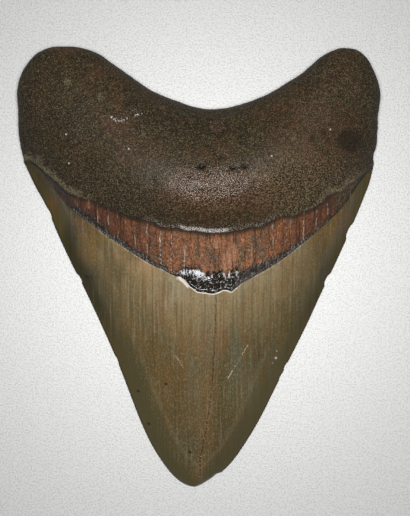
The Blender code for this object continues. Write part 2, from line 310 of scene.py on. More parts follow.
def uneven(line, size, depth):
    """The line with its places swayed up and down by up to depth mm, in waves size mm long."""
    calm_ends = np.sqrt(np.sin(pi * np.linspace(0.0, 1.0, len(line))))
    sway = [noise.noise((x / (size * MM), y / (size * MM), size)) for x, y in line]
    return line + np.outer(calm_ends * sway * depth * MM, (0.0, 1.0))


def by_length(line):
    """A function from shares of the line's length to the points there."""
    lengths = np.linalg.norm(np.diff(line, axis=0), axis=1)
    along = np.concatenate([[0.0], np.cumsum(lengths)])
    along /= along[-1]
    return lambda share: np.stack([np.interp(share, along, line[:, axis]) for axis in (0, 1)], axis=-1)


def outline():
    """The outline's stretches, each a function of the share of its length."""
    left = [
        TIP, *LEFT_CUTTING_EDGE, LEFT_ENAMEL_CORNER, LEFT_ROOT_CORNER, *LEFT_LOBE_SIDE, LEFT_LOBE_CORNER,
    ]
    right = [
        RIGHT_LOBE_CORNER, *RIGHT_LOBE_SIDE, RIGHT_ROOT_CORNER, RIGHT_ENAMEL_CORNER, *RIGHT_CUTTING_EDGE,
    ]
    ring = left + BASAL_EDGE + right
    line = spline(ring, closed=True)
    line = np.vstack([line, line[:1]])
    at = {point: ring.index(point) * CURVE_STEPS for point in ring}

    def stretch(start, end):
        return line[at[start] : at[end] + 1]

    return {
        "left crown": by_length(stretch(TIP, LEFT_ENAMEL_CORNER)),
        "left band": by_length(stretch(LEFT_ENAMEL_CORNER, LEFT_ROOT_CORNER)),
        "left root": by_length(stretch(LEFT_ROOT_CORNER, LEFT_LOBE_CORNER)),
        "basal edge": by_length(stretch(LEFT_LOBE_CORNER, RIGHT_LOBE_CORNER)),
        "right root": by_length(stretch(RIGHT_LOBE_CORNER, RIGHT_ROOT_CORNER)[::-1]),
        "right band": by_length(stretch(RIGHT_ROOT_CORNER, RIGHT_ENAMEL_CORNER)[::-1]),
        "right crown": by_length(line[at[RIGHT_ENAMEL_CORNER] :][::-1]),
    }


def lay(left, right, low, high, ease, across, along):
    """Points of a zone whose ends may sag, across and along it from 0 to 1."""
    share = along ** ease
    points = left(along) * (1 - across)[:, None] + right(along) * across[:, None]
    for end, weight in ((low, 1 - share), (high, share)):
        chord = end(0.0) * (1 - across)[:, None] + end(1.0) * across[:, None]
        points += weight[:, None] * (end(across) - chord)
    return points


def smooth_step(value, low, high):
    t = np.clip((value - low) / (high - low), 0.0, 1.0)
    return t * t * (3 - 2 * t)


def rim_height(y, sizes):
    """The outline's height above the surface, at that distance along the tooth."""
    climb = smooth_step(y / HALF_SIZE[1], RIM_RISES_FROM, RIM_LEVEL_FROM)
    return sizes.edge_height + (RIM_HEIGHT - sizes.edge_height) * climb


def rootness(zone, along):
    """0 on the crown, rising over the band to 1 on the root."""
    return np.select([zone == 0, zone == 1], [0.0, along / 2], np.minimum(1.0, 0.5 + along))


def basal_roundness(along):
    """1 up to the crest, then a quarter round down to 0 at the basal edge."""
    past = np.clip((along - CREST_AT) / (1 - CREST_AT), 0.0, 1.0)
    return np.sqrt(1 - past ** 2)


def lingual_height(zone, across, along, y, sizes):
    share = rootness(zone, along)
    power, roundness = (c + (r - c) * share for c, r in zip(CROWN_SECTION, ROOT_SECTION))
    dome = (1 - np.abs(across) ** power) ** roundness
    dome *= np.where(zone == 2, basal_roundness(along), 1.0)
    up_root = np.sin(pi / 2 * np.minimum(1.0, along / CREST_AT))
    ridge = np.select(
        [zone == 0, zone == 1],
        [
            sizes.edge_height + (sizes.crown_ridge - sizes.edge_height) * along ** CROWN_RIDGE_POWER,
            sizes.crown_ridge + (sizes.band_ridge - sizes.crown_ridge) * along,
        ],
        sizes.band_ridge + (CREST_HEIGHT - sizes.band_ridge) * up_root,
    )
    rim = rim_height(y, sizes)
    return rim + (ridge - rim) * dome


def labial_height(zone, across, along, y, sizes):
    """The flat face: worn level on the crown and the two lobes, and curling up to the rim."""
    rim = rim_height(y, sizes)
    on_root = zone == 2
    curl = 1 - np.abs(across) ** LABIAL_POWER
    tip = np.where(zone == 0, np.sqrt(smooth_step(along, 0.0, TIP_ROUNDING)), 1.0)
    flat = np.where(on_root, curl ** ROOT_SECTION[1] * basal_roundness(along), curl * tip)
    hollow = np.where(on_root, LABIAL_HOLLOW * (1 - across ** 2) ** 2 * np.sin(pi * along), 0.0)
    contact = np.where(on_root, LOBE_CONTACT_DEPTH, CONTACT_DEPTH)
    raised = rim * (1 - flat) + hollow
    return np.maximum(0.0, (raised - contact) * rim / (rim - contact))


def distances(points, line):
    """Each point's distance in mm from a polyline."""
    samples = by_length(line)(np.linspace(0.0, 1.0, BORDER_SAMPLES))
    tree = kdtree.KDTree(len(samples))
    for index, sample in enumerate(samples):
        tree.insert((*sample, 0.0), index)
    tree.balance()
    return np.array([tree.find((x, y, 0.0))[2] for x, y in points]) / MM


def row_places():
    """The zone and the share along it of every row of points, from the tip to the basal edge."""
    crown = [(0, (row / CROWN_ROWS) ** TIP_CROWDING) for row in range(CROWN_ROWS)]
    band = [(1, row / BAND_ROWS) for row in range(BAND_ROWS)]
    return np.array(crown + band + [(2, np.sin(pi / 2 * row / ROOT_ROWS)) for row in range(ROOT_ROWS + 1)])


def across_line(line, y):
    """Where a line that runs towards the tip is across the tooth, in mm, at y in mm."""
    return np.interp(-y, [-place[1] for place in line], [place[0] for place in line])


def charcoal_width(x):
    """How wide the glassy dark strip above the enamel's edge is, in mm, at x in mm."""
    return np.interp(x, *np.transpose(CHARCOAL_WIDTHS))


def add_sheet(bm, edges, lingual, sizes):
    """One sheet of the tooth, a grid laid over the three zones, with its measures in point layers."""
    places = row_places()
    ends = LINGUAL_ENAMEL_END if lingual else LABIAL_ENAMEL_END
    starts = LINGUAL_ROOT_START if lingual else LABIAL_ROOT_START
    enamel_line = uneven(spline([LEFT_ENAMEL_CORNER, *ends, RIGHT_ENAMEL_CORNER]), *ENAMEL_END_SWAY)
    root_line = uneven(spline([LEFT_ROOT_CORNER, *starts, RIGHT_ROOT_CORNER]), *ROOT_START_SWAY)
    enamel_end, root_start = by_length(enamel_line), by_length(root_line)
    tip = np.array(TIP) * HALF_SIZE
    tops = [enamel_end, root_start, edges["basal edge"]]
    bottoms = [lambda share: np.multiply.outer(np.ones(np.shape(share)), tip), enamel_end, root_start]

    columns = LINGUAL_COLUMNS if lingual else LABIAL_COLUMNS
    grid = bmesh.ops.create_grid(bm, x_segments=columns, y_segments=len(places) - 1, size=0.5)
    verts = grid["verts"]
    flat = np.array([vert.co for vert in verts])
    column = np.rint((flat[:, 0] + 0.5) * columns).astype(int)
    row = np.rint((flat[:, 1] + 0.5) * (len(places) - 1)).astype(int)
    zone, along = places[row, 0].astype(int), places[row, 1]
    crowding = CROWN_CROWDING + (ROOT_CROWDING - CROWN_CROWDING) * rootness(zone, along)
    even = column / columns - 0.5
    across = (1 - crowding) * 2 * even + crowding * np.sin(pi * even)

    points = np.zeros((len(verts), 2))
    for index, name in enumerate(ZONES):
        here = zone == index
        left, right = edges[f"left {name}"], edges[f"right {name}"]
        shape = (left, right, bottoms[index], tops[index], CROWN_EASE if name == "crown" else 1)
        points[here] = lay(*shape, (across[here] + 1) / 2, along[here])

    side_left, side_right = (edges[f"{side} crown"](along) for side in ("left", "right"))
    margin = (1 - np.abs(across)) * np.linalg.norm(side_right - side_left, axis=1) / 2 / MM
    enamel_gap = distances(points, enamel_line) * np.where(zone == 0, -1.0, 1.0)
    root_gap = distances(points, root_line) * np.where(zone == 2, 1.0, -1.0)
    x, y = (points / MM).T
    height_of = lingual_height if lingual else labial_height
    height = height_of(zone, across, along, points[:, 1], sizes)
    from_enamel = np.abs(enamel_gap)
    if lingual:
        charcoal = charcoal_width(x) - from_enamel
    else:
        charcoal = np.minimum(0.0, LABIAL_CHARCOAL - from_enamel)
    charcoal = np.where(zone == 0, np.minimum(charcoal, -from_enamel), charcoal)
    if lingual:
        between_ends = smooth_step(x, *CHIP_LEFT_END) * smooth_step(x, *CHIP_RIGHT_END)
        in_chip = smooth_step(charcoal, *CHIP_EDGE) * between_ends
        sunk = smooth_step(enamel_gap, 0.0, ENAMEL_STEP) * smooth_step(-root_gap, 0.0, ROOT_STEP)
        scoop = (CHIP_DEPTH + CHIP_BEND * (enamel_gap - CHIP_CREST) ** 2) * MM
        recess = (sizes.enamel_lip + (scoop - sizes.enamel_lip) * in_chip) * sunk
        lip = sizes.root_lip * np.exp(-(((root_gap - ROOT_LIP_AT) / ROOT_LIP_WIDTH) ** 2))
        fade = 1 - np.abs(across) ** STEP_FADE_POWER
        height += fade * (lip - np.where(zone == 1, recess, 0.0))
    facet = np.maximum(across_line(LEFT_FACET, y) - x, x - across_line(RIGHT_FACET, y))

    measures = {
        "lingual": np.full(len(verts), float(lingual)),
        "rim": (column % columns == 0) & (zone == 0),
        "margin": margin,
        "enamel_gap": enamel_gap,
        "root_gap": root_gap,
        "charcoal": charcoal,
        "crack": x - across_line(CROWN_CRACK, y) if lingual else np.full(len(verts), NOWHERE_NEAR),
        "facet": facet,
    }
    row_layer = bm.verts.layers.int.get("row")
    layers = [(bm.verts.layers.float.get(name), values.tolist()) for name, values in measures.items()]
    for index, (vert, point, z) in enumerate(zip(verts, points, height)):
        vert.co = (*point, z)
        vert[row_layer] = int(row[index])
        for layer, values in layers:
            vert[layer] = float(values[index])
    for face in {face for vert in verts for face in vert.link_faces}:
        lowest = min(vert[row_layer] for vert in face.verts)
        face.material_index = int(places[lowest, 0])
    if lingual:  # along the basal edge, every other point goes, so that both sheets meet point to point
        last = {column[index]: verts[index] for index in np.flatnonzero(row == len(places) - 1)}
        bmesh.ops.weld_verts(bm, targetmap={last[c]: last[c + 1] for c in range(1, columns, 2)})


def serrate(bm, sizes):
    """Cuts the crown's rim finer and wears small rounded serrations into it."""
    rim = bm.verts.layers.float.get("rim")
    edges = [edge for edge in bm.edges if all(vert[rim] > 0.5 for vert in edge.verts)]
    bmesh.ops.subdivide_edges(bm, edges=edges, cuts=RIM_CUTS)
    bm.normal_update()
    waves = []
    for vert in bm.verts:
        if vert[rim] < 0.99:  # the rim's own points and those cut between two of them have 1
            continue
        turn = 2 * pi * vert.co.y / (sizes.serration_pitch * SERRATION_SLANT)
        worn = 0.5 + 0.5 * noise.noise(vert.co / SERRATION_WEAR)
        waves.append((vert, sizes.serration_depth * worn * float(0.5 + 0.5 * np.sin(turn))))
    for vert, depth in waves:
        outward = Vector((vert.normal.x, vert.normal.y, 0.0)).normalized()
        vert.co -= depth * outward


def swells(points, table):
    """The sum of a table's swells at each point, in the table's unit of height."""
    total = 0.0
    for width, stretch, height, seed in table:
        scaled = points / (width * MM * np.array([1.0, stretch, 1.0])) + seed * SEED_STEP
        total = total + height * np.array([noise.noise(point) for point in scaled.tolist()])
    return total


def relief(points, measure, sizes):
    """How far each point is raised over the smooth shape, in metres."""
    x, y = points[:, 0] / MM, points[:, 1] / MM
    lingual = measure["lingual"] > 0.5
    # Each zone's relief passes into the next one's within about a millimetre.
    on_root = smooth_step(measure["root_gap"], -0.3, 0.8)
    on_crown = smooth_step(-measure["enamel_gap"], 0.0, 1.0)
    on_band = (1 - on_root) * (1 - on_crown)

    root = sizes.root_relief * swells(points, ROOT_SWELLS)
    for pit_x, pit_y, radius, depth in ROOT_PITS:
        away = np.hypot(x - pit_x, y - pit_y) / radius
        root -= np.where(lingual, depth * MM * np.exp(-away ** 4), 0.0)
    dimple_x, dimple_y, radius, depth = ROOT_DIMPLE
    away = np.hypot(x - dimple_x, y - dimple_y) / radius
    ring_height, ring_radius, steepness = DIMPLE_RING
    ring = ring_height * np.exp(-((away - ring_radius) * steepness) ** 2)
    root += np.where(lingual, depth * MM * (ring - np.exp(-away ** 4)), 0.0)
    start, end = np.array(ROOT_CREASE)
    run = end - start
    share = np.clip(((x - start[0]) * run[0] + (y - start[1]) * run[1]) / (run @ run), 0.0, 1.0)
    away = np.hypot(x - start[0] - share * run[0], y - start[1] - share * run[1]) / ROOT_CREASE_WIDTH
    root -= np.where(lingual, ROOT_CREASE_DEPTH * MM * np.exp(-away ** 2), 0.0)

    glassy = np.where(lingual, smooth_step(measure["charcoal"], 0.2, 1.2), 0.0)
    swell_x, swell_y, radius, height = CHIP_SWELL
    swell = height * np.exp(-(((x - swell_x) ** 2 + (y - swell_y) ** 2) / radius ** 2))
    band = MM * (swells(points, BAND_SWELLS) + glassy * (swells(points, GLASS_SWELLS) + swell))

    lain_back = np.where(lingual, FACET_DEPTH * smooth_step(measure["facet"], *FACET_FADE), 0.0)
    crown = MM * (swells(points, CROWN_SWELLS) - lain_back)
    crown *= smooth_step(measure["margin"], 0.0, CALM_MARGIN)
    return on_root * root + on_band * band + on_crown * crown


def nick_edges(points):
    """Chips and steps in the outline, pushed in from outside towards the tooth's middle."""
    for x, y, radius, depth in EDGE_NICKS:
        centre = np.array((x, y)) * MM
        inward = -centre / np.linalg.norm(centre)
        inward[1] *= NICK_SLANT
        away = np.linalg.norm(points[:, :2] - centre, axis=1) / (radius * MM)
        points[:, :2] += np.exp(-away ** 4)[:, None] * depth * MM * inward
    return points


def feed(tree, node, inputs):
    """Sets a node's inputs, each to a value or to another node's output."""
    for name, value in inputs.items():
        if isinstance(value, bpy.types.NodeSocket):
            tree.links.new(value, node.inputs[name])
        else:
            node.inputs[name].default_value = value


def add(tree, kind, inputs, output=0, **settings):
    """Adds a node with its settings and inputs, and returns one of its outputs."""
    made = tree.nodes.new("ShaderNode" + kind)
    for name, value in settings.items():
        setattr(made, name, value)
    feed(tree, made, inputs)
    return made.outputs[output]


def new_material(name):
    material = bpy.data.materials.new(name)
    material.use_nodes = True
    return material, material.node_tree, material.node_tree.nodes["Principled BSDF"]


def clouded(tree, scale, seed, inputs):
    """Noise on the piece's own coordinates in metres, scaled along each axis."""
    place = add(tree, "TexCoord", {}, "Object")
    mapped = add(tree, "Mapping", {"Vector": place, "Scale": scale, "Location": (seed, seed, seed)})
    return add(tree, "TexNoise", {"Vector": mapped, "Scale": 1.0, **inputs})


def grain(tree, size, stretch=1.0, seed=0.0, **inputs):
    """Noise whose grains are size metres across and stretch times as long up the tooth."""
    return clouded(tree, (1 / size, 1 / (size * stretch), 1 / size), seed, inputs)


def streaks(tree, width, length, seed=0.0, **inputs):
    """Noise in upright streaks that run through the tooth's whole thickness."""
    return clouded(tree, (1 / width, 1 / length, 0.0), seed, inputs)


def cracks(tree, spacing, waviness, seed):
    """Distance from the nearest of many uneven upright lines, in shares of their spacing."""
    place = add(tree, "TexCoord", {}, "Object")
    sway = grain(tree, 2.2 * MM, 2.5, seed, Detail=4.0, Roughness=0.65)
    x = add(tree, "SeparateXYZ", {0: place})
    shifted = add(tree, "Math", {0: sway, 1: waviness, 2: x}, operation="MULTIPLY_ADD")
    across = add(tree, "Math", {0: shifted, 1: 1 / spacing, 2: seed}, operation="MULTIPLY_ADD")
    return add(
        tree, "TexVoronoi", {"W": across, "Scale": 1.0}, voronoi_dimensions="1D", feature="DISTANCE_TO_EDGE"
    )


def away_from(tree, x, y, across, along):
    """Distance from a place in mm, as a share of the half width and half length in mm around it."""
    place = add(tree, "TexCoord", {}, "Object")
    centred = add(tree, "VectorMath", {0: place, 1: (x * MM, y * MM, 0.0)}, operation="SUBTRACT")
    shares = (1 / (across * MM), 1 / (along * MM), 0.0)
    scaled = add(tree, "VectorMath", {0: centred, 1: shares}, operation="MULTIPLY")
    return add(tree, "VectorMath", {0: scaled}, "Value", operation="LENGTH")


def near(x, y, across, along, start=1.1, full=0.3):
    """The condition of lying near a place. Its pattern is the place, which cover hands to away_from."""
    return (x, y, across, along), start, full


def away_from_line(tree, start, end):
    """Distance in mm, seen from above, from a straight line between two places in mm."""
    place = add(tree, "TexCoord", {}, "Object")
    flat = add(tree, "VectorMath", {0: place, 1: (1 / MM, 1 / MM, 0.0)}, operation="MULTIPLY")
    from_start = add(tree, "VectorMath", {0: flat, 1: (*start, 0.0)}, operation="SUBTRACT")
    run = Vector((*end, 0.0)) - Vector((*start, 0.0))
    reach = add(
        tree, "VectorMath", {0: from_start, 1: run / run.length_squared}, "Value", operation="DOT_PRODUCT"
    )
    reach = add(tree, "Math", {0: reach, 1: 0.0}, operation="ADD", use_clamp=True)
    nearest = add(tree, "VectorMath", {0: run, "Scale": reach}, operation="SCALE")
    return add(tree, "VectorMath", {0: from_start, 1: nearest}, "Value", operation="DISTANCE")


def cover(tree, strength, *conditions):
    """How much of a stain shows: its strength where each condition, (pattern, start, full), is met. That
    goes smoothly from not at all, where the pattern is at start, to wholly, where it is at full."""
    for pattern, start, full in conditions:
        if isinstance(pattern, tuple):
            pattern = away_from(tree, *pattern)
        strength = add(
            tree,
            "MapRange",
            {"Value": pattern, "From Min": start, "From Max": full, "To Max": strength},
            interpolation_type="SMOOTHSTEP",
        )
    return strength


def stained(tree, base, stains):
    """The base colour with each stain, (colour, strength, conditions...), laid over it in turn."""
    surface = (*base, 1.0)
    for colour, strength, *conditions in stains:
        factor = cover(tree, strength, *conditions)
        surface = add(
            tree, "Mix", {"Factor": factor, 6: surface, 7: (*colour, 1.0)}, "Result", data_type="RGBA"
        )
    return surface


def root_material(sizes, colours):
    """Mineralised bone: dark and porous, and a little shiny where handling has worn its grains."""
    material, tree, shader = new_material("mineralised_root_bone")
    # The bone's own pores are 0.1 to 0.2 mm wide and wouldn't show, so specks and pimples are drawn at 0.3
    # and 0.4 mm, and the crumbs between them at 0.75 mm.
    swell = grain(tree, 11 * MM, Detail=3.0)
    mottle = grain(tree, 2.6 * MM, seed=3.0, Detail=4.0, Roughness=0.6)
    speck = grain(tree, 0.6 * sizes.root_grain, Detail=2.0, Roughness=0.6)
    crumb = grain(tree, 1.5 * sizes.root_grain, seed=5.0, Detail=3.0, Roughness=0.7)
    pimple = grain(tree, 0.75 * sizes.root_grain, seed=4.0, Detail=1.0)
    edge, margin, lingual = (
        add(tree, "Attribute", {}, "Fac", attribute_name=name) for name in ("root_gap", "margin", "lingual")
    )
    across = add(tree, "SeparateXYZ", {0: add(tree, "TexCoord", {}, "Object")})
    front = (lingual, 0.4, 0.6)
    scuffs = [away_from_line(tree, *ends) for ends in zip(ROOT_SCUFF, ROOT_SCUFF[1:])]
    crease = away_from_line(tree, *ROOT_CREASE)
    worn_edge = add(tree, "Math", {0: mottle, 1: 5.0, 2: edge}, operation="MULTIPLY_ADD")
    lip = [(edge, 1.4, 0.7), (edge, 0.0, 0.4), front]
    left_ridge = [(worn_edge, 4.8, 3.2), (across, -0.026, -0.033), front]
    right_ridge = [(worn_edge, 5.0, 3.4), (across, 0.030, 0.036), (across, 0.046, 0.041), front]
    thin_ridge = [(edge, 0.9, 0.4), (across, 0.012, 0.022), (across, 0.036, 0.032), front]
    left_lobe, right_lobe = near(-24, 20, 17, 8, 1.2, 0.4), near(28, 22, 17, 11, 1.2, 0.4)
    fleck = [(speck, 0.50, 0.55), (crumb, 0.48, 0.52), front]
    # Broad colouring, the two lobes, grains and pores, the ridges of the lower edge, then single marks.
    # Among them are painted shade along the outline, in the crease and under the lip, and painted
    # highlights on the crest, the lip and the scuff.
    stains = [
        (colours.root_olive, 0.6, (swell, 0.46, 0.58)),
        (colours.root_warm, 0.6, (swell, 0.46, 0.34)),
        (colours.root_olive, 0.8, near(-26, 20, 16, 9, 1.3, 0.5), (mottle, 0.62, 0.45)),
        (colours.root_olive, 0.6, (margin, 8.0, 2.0), (mottle, 0.62, 0.42)),
        (colours.root_warm, 0.8, near(-18, 31, 11, 8, 1.2, 0.3), (mottle, 0.42, 0.56)),
        (colours.root_warm, 0.8, near(9, 19, 26, 10, 1.2, 0.3), (mottle, 0.40, 0.54)),
        (colours.root_warm, 0.5, near(38, 48, 7, 8, 1.2, 0.3), (mottle, 0.42, 0.56)),
        (colours.root_dark_and_shade, 0.6, (mottle, 0.50, 0.62)),
        # Painted shade: the root darkens towards its outline, where its sides turn from the light.
        (colours.root_dark_and_shade, 0.85, (margin, 4.0, 0.5)),
        # Painted shade in the worn crease.
        (colours.root_dark_and_shade, 0.6, (crease, 1.3, 0.3), front),
        (colours.root_tan, 0.30, (crumb, 0.54, 0.68)),
        (colours.root_warm, 0.55, near(31, 34, 17, 14, 1.2, 0.3), (mottle, 0.38, 0.52)),
        (colours.root_grain, 0.70, right_lobe, (pimple, 0.52, 0.60)),
        (colours.root_pit_and_shade, 0.55, right_lobe, (pimple, 0.47, 0.38)),
        (colours.root_pit_and_shade, 0.60, left_lobe, (pimple, 0.52, 0.40)),
        (colours.root_grain, 0.35, left_lobe, (pimple, 0.57, 0.64)),
        # Painted highlight: pale rose flecks that tint the crest's highlight pink.
        (colours.root_rose_and_highlight, 0.60, near(3, 21, 15, 6, 1.3, 0.3), (speck, 0.50, 0.60)),
        (colours.charcoal, 0.25, near(-20, 16.5, 18, 5, 1.2, 0.3), (crumb, 0.42, 0.56), front),
        (colours.root_grain, 0.60, (speck, 0.52, 0.68)),
        (colours.root_pit_and_shade, 0.80, (speck, 0.48, 0.34)),
        (colours.root_pit_and_shade, 0.40, (crumb, 0.46, 0.34)),
        (colours.root_tan, 0.65, *left_ridge, (speck, 0.40, 0.56), (crumb, 0.36, 0.48)),
        (colours.root_tan, 0.65, *right_ridge, (speck, 0.40, 0.56), (crumb, 0.42, 0.54)),
        (colours.root_rose_and_highlight, 0.4, *right_ridge, (speck, 0.50, 0.40), (mottle, 0.56, 0.44)),
        (colours.root_tan, 0.60, *thin_ridge, (crumb, 0.50, 0.56), (speck, 0.42, 0.54)),
        # Painted shade in a broken line along the root's lower edge, under its lip.
        (colours.root_pit_and_shade, 0.5, (edge, 0.4, 0.1), (crumb, 0.45, 0.55)),
        (colours.root_pit_and_shade, 0.6, near(40, 34, 4.2, 3.4, 1.1, 0.6), front),
        (colours.root_tan, 0.5, near(-34.5, 49.2, 1.8, 1.4, 1.0, 0.2), (speck, 0.4, 0.6)),
        (colours.root_tan, 0.4, near(-25.9, 45, 1.5, 1.5, 1.0, 0.2), (speck, 0.4, 0.6)),
        (colours.root_rose_and_highlight, 0.5, near(-9.4, 42.3, 1.5, 0.9, 1.0, 0.2), (speck, 0.4, 0.55)),
        (colours.root_rose_and_highlight, 0.4, near(4.8, 37.3, 2.4, 1.5, 1.1, 0.7), (speck, 0.45, 0.6)),
        # Pale scratches of the scuff, painted with the glints they catch.
        *((colours.root_fleck_and_glint, 0.9, (scuff, 0.5, 0.25), *fleck) for scuff in scuffs),
        # Painted highlights: glinting flecks along the root's worn lip, brightest in its middle.
        (colours.root_fleck_and_glint, 0.28, *lip, near(3, 10, 19, 20, 1.1, 0.7), (speck, 0.50, 0.58)),
        (colours.root_fleck_and_glint, 0.75, *lip, near(1.4, 10, 6.6, 20, 1.1, 0.8), (speck, 0.42, 0.52)),
    ]
    # Each canal opening is darkened in step with its depth, with a darker olive halo round it: painted
    # shade in the holes.
    for x, y, radius, depth in ROOT_PITS:
        hole = away_from(tree, x, y, radius, radius)
        stains.append((colours.root_olive, 0.7 * depth, (hole, 3.5, 1.2), front))
        stains.append((colours.root_pit_and_shade, 1.2 * depth, (hole, 1.4, 0.8), front))
    # Painted glints on single sparkling grains.
    for x, y in ROOT_SPARKLES:
        stains.append((colours.root_fleck_and_glint, 0.7, near(x, y, 0.3, 0.3, 1.0, 0.5), front))
    rubbed = cover(tree, 1.0, near(5, 21, 24, 11, 1.2, 0.2))
    worn_lip = cover(tree, 0.95, *lip, (crumb, 0.56, 0.46))
    shiny = add(tree, "Math", {0: rubbed, 1: worn_lip}, operation="MAXIMUM")
    pimpled = {"Height": pimple, "Distance": 0.36 * sizes.root_grain, "Strength": 1.0}
    feed(tree, shader, {
        "Base Color": stained(tree, colours.root_brown, stains),
        "Roughness": add(tree, "MapRange", {0: shiny, 3: 0.58, 4: 0.20}),
        "IOR": 1.5,
        "Specular IOR Level": 0.3,
        "Specular Tint": (1.0, 0.93, 0.88, 1.0),
        "Normal": add(tree, "Bump", pimpled),
    })
    return material


